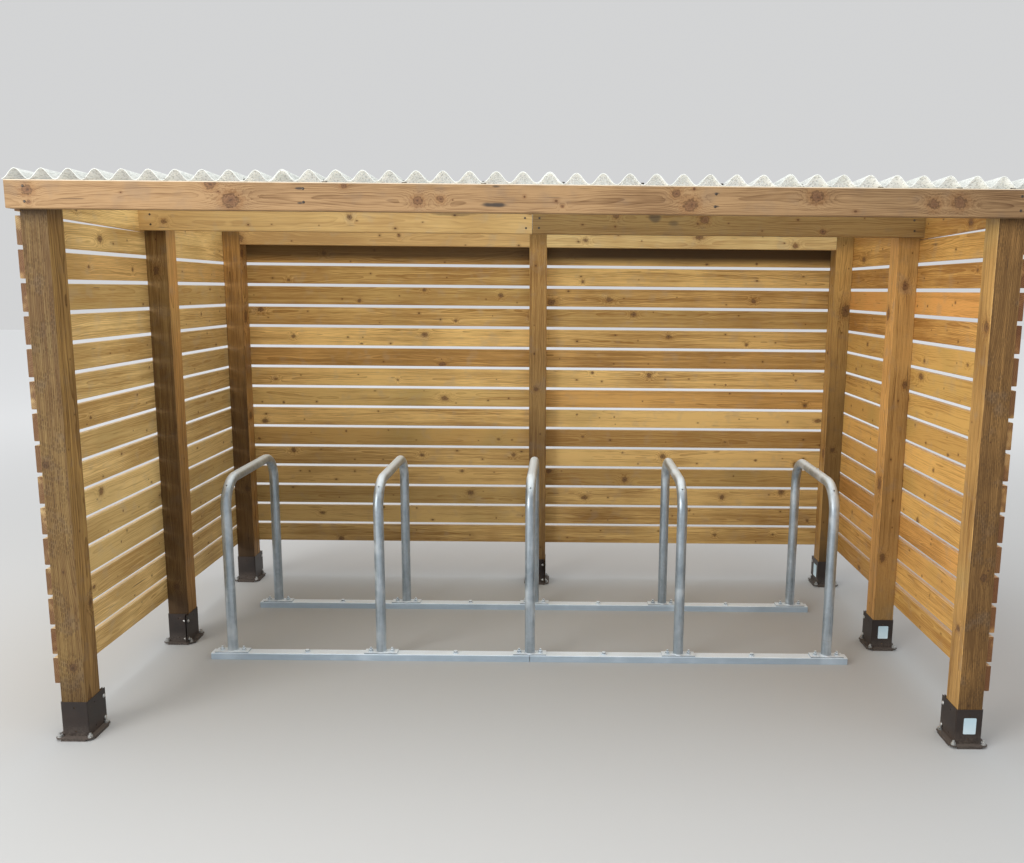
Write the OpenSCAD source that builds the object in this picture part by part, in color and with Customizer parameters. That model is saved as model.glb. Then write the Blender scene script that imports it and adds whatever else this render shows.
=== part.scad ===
// Open-fronted timber cycle shelter with a corrugated mono-pitch roof and a hoop rack.
// The origin is the middle of the footprint at floor level.
// X runs to the right, Y to the back and Z up.

/* [Frame] */
// Outside width over the side posts
frame_w = 3660; // [3200:20:4200]
// Outside depth from the front face of the front posts to the back face of the back posts
frame_d = 1960; // [1700:20:2400]
// Side of the square posts
post = 100; // [90:5:120]
// Height of the roof's underside over the front edge of the front beam
eaves_h = 2161; // [1900:1:2500]
// Fall of the roof from the front posts' front faces to the back posts' back faces
roof_drop = 29.4; // [10:0.1:80]
// Planed arris on posts and boards
ease = 2; // [0.5:0.5:4]

/* [Cross beams] */
// Thickness of the cross beams
beam_t = 47; // [38:1:60]
// Height of the cross beams at their back face
beam_h = 99; // [80:1:140]
// Joint between two beam lengths
beam_joint = 2; // [1:0.5:4]

/* [Slats] */
// Thickness of a slat
slat_t = 20; // [16:1:26]
// Width of a slat
slat_w = 105; // [90:1:125]
// Gap between two slats
slat_gap = 16.5; // [10:0.5:25]
// Height of the lowest slat's lower edge above the floor
slat_low = 233; // [190:1:320]

/* [Post shoes] */
// Steel thickness of the clamp sleeve
shoe_t = 3; // [2:0.5:5]
// Height of the sleeve's upper edge above the floor
shoe_h = 155; // [120:5:180]
// Side of the base plate
plate_w = 150; // [140:5:180]
// Height of the base plate's upper face above the floor
plate_h = 12; // [10:1:20]
// Distance between neighbouring anchor holes
anchor_gap = 120; // [110:2:150]
// Diameter of an anchor hole
anchor_d = 12; // [10:1:14]
// Width of the two clamp flanges
flange_w = 26; // [20:1:35]
// Space between the two clamp flanges
flange_gap = 6; // [3:0.5:10]

/* [Roof] */
// Distance between two crests
pitch = 95; // [76:1:130]
// Overall depth of the corrugations
wave_d = 40; // [19:1:50]
// Thickness of the sheet material
sheet_t = 2; // [1.5:0.5:4]
// Distance by which the sheets pass the front beam
sheet_lip = 5; // [0:1:60]
// Distance by which the sheets pass the back slats
back_lip = 20; // [0:1:80]
// Number of sheets side by side
sheet_count = 4; // [3:1:6]

/* [Rack] */
// Number of hoops
hoops = 5; // [5:1:5]
// Distance between two hoops
hoop_step = 724; // [600:2:760]
// Distance between the front and back legs of a hoop
hoop_span = 680; // [560:5:760]
// Height of the hoop's upper edge above the floor
hoop_h = 900; // [750:5:1000]
// Outside diameter of the tube
tube_d = 48.3; // [42.4:0.1:60.3]
// Wall of the tube
tube_t = 3; // [2:0.5:4]
// Radius of the bends on the tube's centre line
bend_r = 130; // [90:5:200]
// Distance from the front posts' front faces to the middle of the rack
rack_y = 1109; // [900:1:1300]
// Width of a rail
rail_w = 56; // [50:1:80]
// Height of a rail
rail_h = 32; // [25:1:50]
// Steel thickness of a rail
rail_t = 3; // [2:0.5:5]
// Length of a rail beyond the last hoop
rail_end = 98; // [90:1:160]
// Joint between two rail lengths
rail_joint = 3; // [1:0.5:6]
// Length of a foot plate
foot_l = 160; // [140:2:180]
// Width of a foot plate
foot_w = 50; // [50:1:60]
// Thickness of a foot plate
foot_t = 6; // [4:0.5:10]
// Distance between the two bolts of a foot plate
foot_bolts = 104; // [90:2:120]
// Diameter of a bolt hole in a foot plate
foot_hole = 12; // [10:1:14]
// Diameter of a ground anchor hole in a rail
ground_hole = 14; // [12:1:18]

/* [Hidden] */

// Running clearance between a post and its sleeve, and under the roof sheets
seat = 0.2;
half_w = frame_w / 2;
// Length of a sheet from front to back
sheet_l = sheet_lip + beam_t + frame_d + slat_t + back_lip;
// Front of the whole shelter and the posts' front faces
y_edge = -sheet_l / 2;
y_beam = y_edge + sheet_lip;
y0 = y_beam + beam_t;
y_back = y0 + frame_d;
y_mid = y0 + (frame_d - post) / 2;
x_left = -half_w + post / 2;
x_right = half_w - post / 2;
fall = roof_drop / frame_d;
fall_a = atan(fall);
slat_step = slat_w + slat_gap;
// Sheet profile: half the swing of the middle line, crests over the width, lift of a lapping sheet
swing = (wave_d - sheet_t) / 2;
crests = round((frame_w + 2 * slat_t) / pitch);
steep = 2 * PI * swing / pitch;
lift = sheet_t * sqrt(1 + steep * steep) + 0.2;
wave_steps = 18;
rail_l = 2 * hoop_step + rail_end - rail_joint / 2;
rack_c = y0 + rack_y;

post_brown = [0.55, 0.41, 0.24];
beam_brown = [0.69, 0.52, 0.34];
slat_brown = [0.72, 0.54, 0.31];
shoe_brown = [0.21, 0.16, 0.13];
sheet_white = [0.90, 0.91, 0.90, 0.85];
zinc_grey = [0.68, 0.71, 0.73];

// Height of the roof's underside at a distance y from the origin
function roof_z(y) = eaves_h - fall * (y - y_beam);

// Points of a circular arc
function arc(cx, cy, r, a0, a1, n = 6) =
    [for (i = [0:n]) let (a = a0 + (a1 - a0) * i / n) [cx + r * cos(a), cy + r * sin(a)]];

// Square of side 2h with round corners
function round_square(h, r) = concat(
    arc(h - r, h - r, r, 0, 90),
    arc(-h + r, h - r, r, 90, 180),
    arc(-h + r, -h + r, r, 180, 270),
    arc(h - r, -h + r, r, 270, 360)
);

// Rectangle from a to b with planed corners
function eased(a, b, e) = [
    [a[0] + e, a[1]], [b[0] - e, a[1]], [b[0], a[1] + e], [b[0], b[1] - e],
    [b[0] - e, b[1]], [a[0] + e, b[1]], [a[0], b[1] - e], [a[0], a[1] + e]
];

// Prism along X whose section is given as [y, z] points
module prism_x(x0, x1, pts) {
    translate([x0, 0, 0])
        rotate([90, 0, 90])
            linear_extrude(height = x1 - x0) polygon(pts);
}

// Prism along Y whose section is given as [x, z] points
module prism_y(y0, y1, pts) {
    translate([0, y1, 0])
        rotate([90, 0, 0])
            linear_extrude(height = y1 - y0) polygon(pts);
}

// Square post standing on its base plate and cut to the fall of the roof
module post_at(x, y) {
    top = roof_z(y) + post;
    color(post_brown)
    difference() {
        translate([x, y, plate_h])
            linear_extrude(height = top - plate_h)
                polygon(eased([-post / 2, -post / 2], [post / 2, post / 2], ease));
        translate([x - post, y, roof_z(y) - seat])
            rotate([-fall_a, 0, 0])
                translate([0, -2 * post, 0]) cube([2 * post, 4 * post, 2 * post]);
    }
}

// Section of the clamp sleeve, split at one corner between two parallel flanges
module sleeve_section() {
    xi = post / 2 + seat;
    xo = xi + shoe_t;
    difference() {
        polygon(round_square(xo, shoe_t + 2));
        polygon(round_square(xi, 1.5));
        translate([xi - flange_gap, xi - 2]) square([flange_gap, shoe_t + 4]);
    }
    translate([xi, 0]) square([shoe_t, xo + flange_w]);
    translate([xi - flange_gap - shoe_t, xi]) square([shoe_t, shoe_t + flange_w]);
}

// Base plate with clipped corners and edges turned down to the floor
module base_plate() {
    h = plate_w / 2;
    clip = 0.08 * plate_w;
    lip = plate_w * 2 / 3;
    drop = plate_h - shoe_t - 1;
    difference() {
        translate([0, 0, drop])
            linear_extrude(height = plate_h - drop) polygon(eased([-h, -h], [h, h], clip));
        for (sx = [-1, 1], sy = [-1, 1])
            translate([sx * anchor_gap / 2, sy * anchor_gap / 2, 0])
                cylinder(h = 2 * plate_h, d = anchor_d, $fn = 48);
    }
    for (a = [0:90:270])
        rotate([0, 0, a])
            translate([h - shoe_t, -lip / 2, 0]) cube([shoe_t, lip, plate_h - 1]);
}

// Bolt-down post shoe. The flanges stand at the corner towards flip_x and flip_y
module shoe_at(x, y, flip_x, flip_y) {
    xi = post / 2 + seat;
    high = plate_h + 0.79 * (shoe_h - plate_h);
    low = plate_h + 0.13 * (shoe_h - plate_h);
    color(shoe_brown)
    translate([x, y, 0])
    mirror([flip_x, 0, 0])
    mirror([0, flip_y, 0])
    difference() {
        union() {
            base_plate();
            translate([0, 0, plate_h])
                linear_extrude(height = shoe_h - plate_h) sleeve_section();
        }
        // Nail holes through the four faces
        for (z = [low, high + 6]) {
            translate([0, 0, z]) rotate([90, 0, 0])
                cylinder(h = 2 * post, d = 6, center = true, $fn = 32);
            translate([0, 0, z]) rotate([0, 90, 0])
                cylinder(h = 2 * post, d = 6, center = true, $fn = 32);
        }
        // Clamp bolt holes through both flanges
        for (z = [low, high])
            translate([xi - 3 * flange_gap, xi + shoe_t + flange_w / 2, z])
                rotate([0, 90, 0]) cylinder(h = 6 * flange_gap, d = 9, $fn = 32);
    }
}

// Cross beam with its top planed to the fall of the roof
module beam(x0, x1, yf) {
    yb = yf + beam_t;
    zb = roof_z(yb) - seat - beam_h;
    color(beam_brown)
        prism_x(x0, x1, [
            [yf + ease, zb], [yb - ease, zb], [yb, zb + ease],
            [yb, roof_z(yb) - seat], [yf, roof_z(yf) - seat], [yf, zb + ease]
        ]);
}

// Line of the top board's lower edge
function cut_z(y) = roof_z(y) - seat - slat_w;

// Side wall: level slats on the outer faces of the posts.
// The highest one is cut to the slope where the top board comes down to it
module side_slats(x0, x1) {
    ya = y0 + 3;
    yb = y_back + slat_t;
    n = floor((cut_z(ya) - slat_low - 10 + slat_gap) / slat_step);
    color(slat_brown)
    for (k = [0:n - 1]) {
        z = slat_low + k * slat_step;
        if (z + slat_w < cut_z(yb) - 1)
            prism_y(ya, yb, eased([x0, z], [x1, z + slat_w], ease));
        else
            intersection() {
                prism_y(ya, yb, eased([x0, z], [x1, z + slat_w], ease));
                prism_x(x0 - 10, x1 + 10, [
                    [ya - 10, z - 10], [yb + 10, z - 10],
                    [yb + 10, cut_z(yb + 10) - 1], [ya - 10, cut_z(ya - 10) - 1]
                ]);
            }
    }
}

// Sloping board that closes the side wall under the roof
module top_board(x0, x1) {
    ya = y0 + 3;
    yb = y_back + slat_t;
    color(slat_brown)
        prism_x(x0, x1, [
            [ya, cut_z(ya)], [yb, cut_z(yb)],
            [yb, roof_z(yb) - seat], [ya, roof_z(ya) - seat]
        ]);
}

// Back wall: level slats on the back faces of the posts, up to the roof
module back_slats(x0, x1) {
    yb = y_back + slat_t;
    limit = roof_z(yb) - seat;
    n = ceil((limit - slat_low - 25) / slat_step);
    color(slat_brown)
    for (k = [0:n - 1]) {
        z = slat_low + k * slat_step;
        top = min(z + slat_w, limit);
        prism_x(x0, x1, eased([y_back, z], [yb, top], ease));
    }
}

// One point of the sheet's upper (side 1) or lower (side -1) face at u from its valley edge
function wave_pt(u, side) =
    let (
        m = steep * sin(360 * u / pitch),
        s = sqrt(1 + m * m)
    )
    [
        u - side * m * sheet_t / 2 / s,
        sheet_t / 2 + swing * (1 - cos(360 * u / pitch)) + side * sheet_t / 2 / s
    ];

// Closed outline of n corrugations with an even wall
function wave_outline(n) =
    let (last = n * wave_steps)
    concat(
        [for (i = [0:last]) wave_pt(i * pitch / wave_steps, -1)],
        [for (i = [last:-1:0]) wave_pt(i * pitch / wave_steps, 1)]
    );

// Crests on sheet k, and the crest it starts on. Each sheet laps its neighbour by one
function sheet_n(k) =
    floor((crests + sheet_count - 1) / sheet_count)
    + (k < (crests + sheet_count - 1) % sheet_count ? 1 : 0);
function sheet_start(k) = k == 0 ? 0 : sheet_start(k - 1) + sheet_n(k - 1) - 1;

// Corrugated sheet k. Every second sheet lies over the edges of its neighbours
module roof_sheet(k) {
    x = -crests * pitch / 2 + sheet_start(k) * pitch;
    color(sheet_white)
        translate([x, y_edge, roof_z(y_edge) + (k % 2) * lift])
            rotate([-fall_a, 0, 0])
                prism_y(0, sheet_l, wave_outline(sheet_n(k)));
}

// Section of a rail: an inverted channel with bent edges
function rail_outline() = let (w = rail_w / 2, ri = rail_t * 2 / 3, ro = rail_t + ri) concat(
    [[w, 0]], arc(w - ro, rail_h - ro, ro, 0, 90), arc(-w + ro, rail_h - ro, ro, 90, 180),
    [[-w, 0], [-w + rail_t, 0]],
    arc(-w + rail_t + ri, rail_h - rail_t - ri, ri, 180, 90),
    arc(w - rail_t - ri, rail_h - rail_t - ri, ri, 90, 0),
    [[w - rail_t, 0]]
);

// Rail length on one side, drilled for the foot plates and for the ground anchors
module rail(side, y) {
    x0 = side > 0 ? rail_joint / 2 : -rail_joint / 2 - rail_l;
    color(zinc_grey)
    difference() {
        translate([0, y, 0]) prism_x(x0, x0 + rail_l, rail_outline());
        for (k = [0:2], s = [-1, 1])
            if (k > 0 || s > 0)
                translate([side * (k * hoop_step + s * foot_bolts / 2), y, rail_h / 2])
                    cylinder(h = rail_h, d = foot_hole, $fn = 48);
        for (k = [0.5, 1.5])
            translate([side * k * hoop_step, y, rail_h / 2])
                cylinder(h = rail_h, d = ground_hole, $fn = 48);
    }
}

// Bent rod of radius r along the middle line of a hoop, in the plane x = 0
module hoop_rod(r) {
    z0 = rail_h + foot_t;
    zb = hoop_h - tube_d / 2 - bend_r;
    yc = hoop_span / 2 - bend_r;
    for (s = [0, 1])
        mirror([0, s, 0]) {
            translate([0, hoop_span / 2, z0]) cylinder(h = zb - z0, r = r, $fn = 48);
            translate([0, yc, zb])
                rotate([90, 0, 90])
                    rotate_extrude(angle = 90, $fn = 96)
                        translate([bend_r, 0]) circle(r = r, $fn = 48);
        }
    translate([0, -yc, zb + bend_r])
        rotate([-90, 0, 0]) cylinder(h = 2 * yc, r = r, $fn = 48);
}

// Hoop number k with its two foot plates
module hoop(k) {
    x = (k - (hoops + 1) / 2) * hoop_step;
    zb = hoop_h - tube_d / 2 - bend_r;
    color(zinc_grey)
    translate([x, rack_c, 0]) {
        difference() {
            hoop_rod(tube_d / 2);
            hoop_rod(tube_d / 2 - tube_t);
            // Vent hole on the outside of the front bend
            translate([0, -hoop_span / 2 + bend_r, zb])
                rotate([45, 0, 0]) translate([0, 0, bend_r]) cylinder(h = tube_d, d = 8, $fn = 32);
        }
        for (s = [-1, 1])
            translate([0, s * hoop_span / 2, rail_h]) {
                difference() {
                    translate([-foot_l / 2, -foot_w / 2, 0]) cube([foot_l, foot_w, foot_t]);
                    for (b = [-1, 1])
                        translate([b * foot_bolts / 2, 0, -1])
                            cylinder(h = foot_t + 2, d = foot_hole, $fn = 48);
                }
                // Weld around the leg
                difference() {
                    translate([0, 0, foot_t - 0.5])
                        cylinder(h = 5, r1 = tube_d / 2 + 4.5, r2 = tube_d / 2, $fn = 48);
                    cylinder(h = 4 * foot_t, r = tube_d / 2 - 1, $fn = 48);
                }
            }
    }
}

post_at(x_left, y0 + post / 2);  // post_front_left
post_at(x_left, y_mid + post / 2);  // post_mid_left
post_at(x_left, y_back - post / 2);  // post_back_left
post_at(0, y_back - post / 2);  // post_back_centre
post_at(x_right, y_back - post / 2);  // post_back_right
post_at(x_right, y_mid + post / 2);  // post_mid_right
post_at(x_right, y0 + post / 2);  // post_front_right
shoe_at(x_left, y0 + post / 2, 0, 0);  // shoe_front_left
shoe_at(x_left, y_mid + post / 2, 0, 1);  // shoe_mid_left
shoe_at(x_left, y_back - post / 2, 0, 0);  // shoe_back_left
shoe_at(0, y_back - post / 2, 0, 1);  // shoe_back_centre
shoe_at(x_right, y_back - post / 2, 1, 0);  // shoe_back_right
shoe_at(x_right, y_mid + post / 2, 1, 0);  // shoe_mid_right
shoe_at(x_right, y0 + post / 2, 1, 0);  // shoe_front_right
beam(-half_w - slat_t, half_w + slat_t, y_beam);  // fascia_beam
beam(-half_w, -beam_joint / 2, y_mid - beam_t);  // mid_beam_left
beam(beam_joint / 2, half_w, y_mid - beam_t);  // mid_beam_right
beam(-half_w + post, -post / 2, y_back - post);  // back_beam_left
beam(post / 2, half_w - post, y_back - post);  // back_beam_right
side_slats(-half_w - slat_t, -half_w);  // side_slats_left
side_slats(half_w, half_w + slat_t);  // side_slats_right
top_board(-half_w - slat_t, -half_w);  // top_board_left
top_board(half_w, half_w + slat_t);  // top_board_right
back_slats(-half_w, -1);  // back_slats_left
back_slats(1, half_w);  // back_slats_right
roof_sheet(0);  // roof_sheet_1
roof_sheet(1);  // roof_sheet_2
roof_sheet(2);  // roof_sheet_3
roof_sheet(3);  // roof_sheet_4
rail(-1, rack_c - hoop_span / 2);  // rack_rail_front_left
rail(1, rack_c - hoop_span / 2);  // rack_rail_front_right
rail(-1, rack_c + hoop_span / 2);  // rack_rail_back_left
rail(1, rack_c + hoop_span / 2);  // rack_rail_back_right
hoop(1);  // rack_hoop_1
hoop(2);  // rack_hoop_2
hoop(3);  // rack_hoop_3
hoop(4);  // rack_hoop_4
hoop(5);  // rack_hoop_5
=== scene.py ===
"""Looks of the timber cycle shelter: wood, steel, zinc and roof sheet finishes, fixings, lights, camera."""
import math
import random
from collections import namedtuple

import bpy
from mathutils import Matrix, Vector


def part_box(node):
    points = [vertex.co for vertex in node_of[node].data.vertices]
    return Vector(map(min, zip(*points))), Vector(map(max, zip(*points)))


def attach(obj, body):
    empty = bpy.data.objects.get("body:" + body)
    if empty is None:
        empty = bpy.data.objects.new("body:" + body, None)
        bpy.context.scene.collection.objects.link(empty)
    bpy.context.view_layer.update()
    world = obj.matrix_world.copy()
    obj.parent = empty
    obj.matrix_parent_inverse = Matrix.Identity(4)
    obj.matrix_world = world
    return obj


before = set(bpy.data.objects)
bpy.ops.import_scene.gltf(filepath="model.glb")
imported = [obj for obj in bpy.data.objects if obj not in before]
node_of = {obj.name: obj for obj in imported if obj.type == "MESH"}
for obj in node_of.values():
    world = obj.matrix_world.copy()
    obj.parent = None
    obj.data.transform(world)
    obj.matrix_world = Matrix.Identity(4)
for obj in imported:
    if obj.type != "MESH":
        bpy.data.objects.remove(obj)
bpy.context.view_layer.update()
bpy.ops.object.select_all(action="DESELECT")

# Sizes in metres, read from the solids where they have them

POSTS = ("front_left", "mid_left", "back_left", "back_centre", "back_right", "mid_right", "front_right")
post_centre = {}
for place in POSTS:
    low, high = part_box("post_" + place)
    post_centre[place] = Vector(((low.x + high.x) / 2, (low.y + high.y) / 2, 0))
post_low, post_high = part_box("post_front_left")
POST = post_high.x - post_low.x
PLATE_TOP = post_low.z
COLUMN_STEP = post_centre["front_right"].x
MIDDLE_LINE = post_centre["mid_left"].y
LINE_STEP = MIDDLE_LINE - post_centre["front_left"].y

SLAT_WIDE = 0.105
SLAT_GAP = 0.0165
SLAT_STEP = SLAT_WIDE + SLAT_GAP
SLAT_ROWS = 15
side_slat_low, side_slat_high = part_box("side_slats_left")
back_slat_low, back_slat_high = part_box("back_slats_left")
SLAT_LOW = side_slat_low.z
SIDE_SLAT_MIDDLE = -(side_slat_low.x + side_slat_high.x) / 2
SIDE_SLAT_OUTSIDE = -side_slat_low.x
BACK_SLAT_MIDDLE = (back_slat_low.y + back_slat_high.y) / 2
BACK_SLAT_INSIDE = back_slat_low.y

fascia_low, fascia_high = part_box("fascia_beam")
mid_beam_low, mid_beam_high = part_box("mid_beam_left")
back_beam_low, back_beam_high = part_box("back_beam_left")
BEAM_THICK = 0.047
BEAM_HALF = 0.023
FASCIA_MIDDLE = (fascia_low.z + fascia_high.z) / 2
MID_BEAM_MIDDLE = (mid_beam_low.z + mid_beam_high.z) / 2
BACK_BEAM_MIDDLE = (back_beam_low.z + back_beam_high.z) / 2
# A line between the middle and the back beam, which tells them apart
BETWEEN_BEAMS = 0.4

ROOF_PITCH = 0.095
ROOF_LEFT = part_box("roof_sheet_1")[0].x
ROOF_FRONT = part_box("roof_sheet_1")[0].y

rail_low, rail_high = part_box("rack_rail_front_left")
back_rail_low, back_rail_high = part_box("rack_rail_back_left")


# Shader building

def srgb(red, green, blue):
    """Linear colour of 0 to 255 screen values."""
    def one(value):
        value /= 255
        return value / 12.92 if value <= 0.04045 else ((value + 0.055) / 1.055) ** 2.4
    return (one(red), one(green), one(blue), 1.0)


BLACK = (0.0, 0.0, 0.0, 1.0)


def dimmed(colour, share):
    return tuple(part * share for part in colour[:3]) + (1.0,)


class Value:
    """A number that varies over a surface. Arithmetic on it adds Math nodes."""

    def __init__(self, nodes, socket):
        self.nodes = nodes
        self.socket = socket

    def op(self, kind, *others):
        return self.nodes.math(kind, self, *others)

    def __add__(self, other):
        return self.op("ADD", other)

    __radd__ = __add__

    def __sub__(self, other):
        return self.op("SUBTRACT", other)

    def __rsub__(self, other):
        return self.nodes.math("SUBTRACT", other, self)

    def __mul__(self, other):
        return self.op("MULTIPLY", other)

    __rmul__ = __mul__

    def __truediv__(self, other):
        return self.op("DIVIDE", other)

    def __pow__(self, other):
        return self.op("POWER", other)

    def __gt__(self, other):
        return self.op("GREATER_THAN", other)

    def __lt__(self, other):
        return self.op("LESS_THAN", other)

    def floor(self):
        return self.op("FLOOR")

    def fract(self):
        return self.op("FRACT")

    def abs(self):
        return self.op("ABSOLUTE")

    def sin(self):
        return self.op("SINE")

    def cos(self):
        return self.op("COSINE")

    def exp(self):
        return self.op("EXPONENT")

    def sqrt(self):
        return self.op("SQRT")

    def least(self, other):
        return self.op("MINIMUM", other)

    def most(self, other):
        return self.op("MAXIMUM", other)

    def clip(self):
        """The value kept between 0 and 1."""
        return self.nodes.node("ShaderNodeClamp", {}, {"Value": self})

    def ramp(self, start, end):
        """0 below start, 1 above end, smooth between."""
        return self.nodes.node(
            "ShaderNodeMapRange", {"interpolation_type": "SMOOTHSTEP"},
            {"Value": self, "From Min": start, "From Max": end, "To Min": 0.0, "To Max": 1.0})


class Nodes:
    """A tree of shader nodes."""

    def __init__(self, tree):
        self.tree = tree

    def feed(self, socket, value):
        """Links a value to a socket, or sets the socket to a plain number or colour."""
        if isinstance(value, Value):
            self.tree.links.new(value.socket, socket)
        else:
            socket.default_value = value

    def node(self, kind, settings, inputs, output=0):
        """Adds a node: its settings first, then its sockets. Returns one output, or all of them for None."""
        made = self.tree.nodes.new(kind)
        for key, value in settings.items():
            setattr(made, key, value)
        for key, value in inputs.items():
            self.feed(made.inputs[key], value)
        if output is None:
            return [Value(self, socket) for socket in made.outputs]
        return Value(self, made.outputs[output])

    def math(self, kind, *values):
        return self.node("ShaderNodeMath", {"operation": kind}, dict(enumerate(values)))


class Finish(Nodes):
    """One material. Its colour is laid on in coats: colour is the base, and coat() adds the next one."""

    def __init__(self, name):
        self.material = bpy.data.materials.new(name)
        self.material.use_nodes = True
        super().__init__(self.material.node_tree)
        self.shader = self.tree.nodes["Principled BSDF"]
        self.point = self.node("ShaderNodeTexCoord", {}, {}, "Object")
        self.x, self.y, self.z = self.split(self.point)
        self.facing = self.split(self.node("ShaderNodeNewGeometry", {}, {}, "Normal"))
        self.colour = None

    def vector(self, x, y, z):
        return self.node("ShaderNodeCombineXYZ", {}, {"X": x, "Y": y, "Z": z})

    def split(self, vector):
        """The three parts of a vector or colour."""
        return self.node("ShaderNodeSeparateXYZ", {}, {"Vector": vector}, None)

    def noise(self, place, detail, rough, scale=1.0, output=0):
        sockets = {"Vector": place, "Scale": scale, "Detail": detail, "Roughness": rough}
        return self.node("ShaderNodeTexNoise", {}, sockets, output)

    def dice(self, x, y, z, output="Value"):
        """One random number for each whole place."""
        settings = {"noise_dimensions": "3D"}
        return self.node("ShaderNodeTexWhiteNoise", settings, {"Vector": self.vector(x, y, z)}, output)

    def three_dice(self, x, y, z):
        """Three random numbers for each whole place."""
        return self.split(self.dice(x, y, z, "Color"))

    def mix(self, factor, first, second):
        """Blends two colours. The factor is kept between 0 and 1."""
        settings = {"data_type": "RGBA", "clamp_factor": True}
        return self.node("ShaderNodeMix", settings, {0: factor, 6: first, 7: second}, 2)

    def coat(self, cover, colour):
        """Lays a colour over the one so far, as far as it covers."""
        self.colour = self.mix(cover, self.colour, colour)

    def use(self, socket, value):
        self.feed(self.shader.inputs[socket], value)

    def finish(self, roughness, height, distance, strength):
        """Gives the shader the colour, a roughness and a relief, and returns the material."""
        self.use("Base Color", self.colour)
        self.use("Roughness", roughness.clip())
        relief = {"Height": height, "Distance": distance, "Strength": strength}
        self.use("Normal", self.node("ShaderNodeBump", {}, relief, "Normal"))
        return self.material


# Wood

# Colours of early wood, of late wood, and of boards and patches that are redder or greener
Tints = namedtuple("Tints", "light dark warm green")
# Each step along a board has room for one knot, within a width. share and pins say how many steps have a knot
# and a pin knot, small and large are radii, and known lists knots by place along, height and radius
Knots = namedtuple(
    "Knots", "share pins step wide small large known", defaults=(0.42, 0.084, 0.004, 0.014, ()))
# Where a point lies: the board's number, the place along, across and through it, and the axis of its grain
Board = namedtuple("Board", "number along across deep axis")


def wood_tints(*colours):
    """Tints of screen values."""
    return Tints(*(srgb(*colour) for colour in colours))


PIN_STEP = 0.17
PIN_SMALL, PIN_LARGE = 0.0022, 0.0050
KNOT_HALO = srgb(138, 90, 46)
KNOT_HEART, KNOT_HEART_PALE = srgb(88, 58, 42), srgb(140, 100, 70)
KNOT_RIM = srgb(60, 40, 28)
KNOT_CORE = srgb(50, 34, 26)
PIN_DARK, PIN_HALO = srgb(74, 45, 28), srgb(120, 76, 40)
SCRATCH = srgb(70, 48, 32)
STAIN = srgb(52, 50, 50)
END_GRAIN = srgb(88, 50, 31)
# Colour of the painted highlight along a top edge
PAINTED_ARRIS_HIGHLIGHT = srgb(252, 236, 212)


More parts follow.
